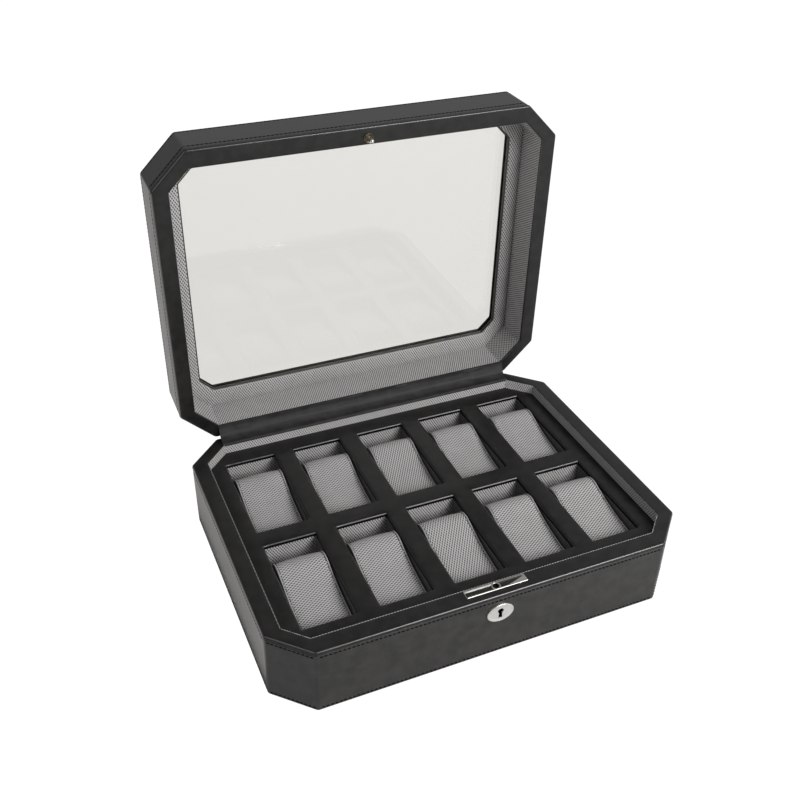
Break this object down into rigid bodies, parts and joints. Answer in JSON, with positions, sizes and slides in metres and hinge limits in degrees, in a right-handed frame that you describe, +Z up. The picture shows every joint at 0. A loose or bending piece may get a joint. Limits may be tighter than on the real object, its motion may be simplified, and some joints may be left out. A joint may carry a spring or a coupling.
{
  "type": "watch box",
  "caption": "Eight-sided leather watch box with a hinged window lid, a divided tray of lift-out cushions and a front lock.",
  "frame": {"origin": "middle of the base's footprint, on the surface that the box stands on", "axes": "+X to the right along the front, +Y to the back where the hinge is, +Z up"},
  "size_m": [0.314, 0.2799, 0.2976],
  "materials": {
    "body_leather": "smooth black leather, semi-matt, fine grain",
    "rim_leather": "smooth black leather, semi-matt, folded edge",
    "tray_leather": "black padded leather, matt",
    "strip_leather": "soft black leather, matt",
    "grey_fabric": "light grey woven jacquard with raised slanted ribs",
    "cushion_fabric": "light grey woven jacquard with raised slanted ribs",
    "board": "plain fibreboard",
    "foam": "cream foam",
    "window_glass": "clear polished glass",
    "gasket_rubber": "matt black rubber",
    "lock_nickel": "polished nickel",
    "cup_brass": "dark satin brass",
    "hinge_steel": "nickel-plated steel",
    "bottom_felt": "black felt"
  },
  "bodies": {
    "base": {"base_bottom_sheet": "bottom_felt", "base_floor": "board", "base_wall_frame": "board", "base_leather_wrap": "body_leather", "base_rim_leather": "rim_leather", "base_wall_lining": "grey_fabric", "divider_lengthwise": "board", "divider_cross_walls": "board", "tray_border_walls": "board", "compartment_liners": "grey_fabric", "tray_board": "board", "tray_leather": "tray_leather", "hinge_leaf_base": "hinge_steel", "hinge_pin": "hinge_steel", "hinge_screws_base": "hinge_steel", "hinge_strip_base": "strip_leather", "lock_plate": "lock_nickel", "lock_case": "hinge_steel", "lock_spring": "hinge_steel", "keyhole_plate": "lock_nickel"},
    "lid": {"lid_wall_frame": "board", "lid_top_panel": "board", "lid_leather_wrap": "body_leather", "lid_top_leather": "body_leather", "lid_rim_leather": "rim_leather", "lid_wall_lining": "grey_fabric", "lid_flange_lining": "grey_fabric", "glass_pane": "window_glass", "glass_gasket": "gasket_rubber", "catch_stud": "lock_nickel", "catch_stud_cup": "cup_brass", "hinge_leaf_lid": "hinge_steel", "hinge_screws_lid": "hinge_steel", "hinge_strip_lid": "strip_leather"},
    "lock_bolt": {"lock_bolt": "hinge_steel"},
    "cushion_01": {"cushion_cover_01": "cushion_fabric", "cushion_foam_01": "foam"},
    "cushion_02": {"cushion_cover_02": "cushion_fabric", "cushion_foam_02": "foam"},
    "cushion_03": {"cushion_cover_03": "cushion_fabric", "cushion_foam_03": "foam"},
    "cushion_04": {"cushion_cover_04": "cushion_fabric", "cushion_foam_04": "foam"},
    "cushion_05": {"cushion_cover_05": "cushion_fabric", "cushion_foam_05": "foam"},
    "cushion_06": {"cushion_cover_06": "cushion_fabric", "cushion_foam_06": "foam"},
    "cushion_07": {"cushion_cover_07": "cushion_fabric", "cushion_foam_07": "foam"},
    "cushion_08": {"cushion_cover_08": "cushion_fabric", "cushion_foam_08": "foam"},
    "cushion_09": {"cushion_cover_09": "cushion_fabric", "cushion_foam_09": "foam"},
    "cushion_10": {"cushion_cover_10": "cushion_fabric", "cushion_foam_10": "foam"}
  },
  "joints": [
    {"name": "lid_hinge", "type": "hinge", "parent": "base", "child": "lid", "pos_m": [0, 0.12, 0.057], "axis": [-1, 0, 0], "range_deg": [-89, 0]},
    {"name": "lock_bolt_slide", "type": "slide", "parent": "base", "child": "lock_bolt", "axis": [1, 0, 0], "range_m": [0, 0.005]},
    {"name": "cushion_01_lift", "type": "slide", "parent": "base", "child": "cushion_01", "axis": [0, 0, 1], "range_m": [0, 0.06]},
    {"name": "cushion_02_lift", "type": "slide", "parent": "base", "child": "cushion_02", "axis": [0, 0, 1], "range_m": [0, 0.06]},
    {"name": "cushion_03_lift", "type": "slide", "parent": "base", "child": "cushion_03", "axis": [0, 0, 1], "range_m": [0, 0.06]},
    {"name": "cushion_04_lift", "type": "slide", "parent": "base", "child": "cushion_04", "axis": [0, 0, 1], "range_m": [0, 0.06]},
    {"name": "cushion_05_lift", "type": "slide", "parent": "base", "child": "cushion_05", "axis": [0, 0, 1], "range_m": [0, 0.06]},
    {"name": "cushion_06_lift", "type": "slide", "parent": "base", "child": "cushion_06", "axis": [0, 0, 1], "range_m": [0, 0.06]},
    {"name": "cushion_07_lift", "type": "slide", "parent": "base", "child": "cushion_07", "axis": [0, 0, 1], "range_m": [0, 0.06]},
    {"name": "cushion_08_lift", "type": "slide", "parent": "base", "child": "cushion_08", "axis": [0, 0, 1], "range_m": [0, 0.06]},
    {"name": "cushion_09_lift", "type": "slide", "parent": "base", "child": "cushion_09", "axis": [0, 0, 1], "range_m": [0, 0.06]},
    {"name": "cushion_10_lift", "type": "slide", "parent": "base", "child": "cushion_10", "axis": [0, 0, 1], "range_m": [0, 0.06]}
  ]
}
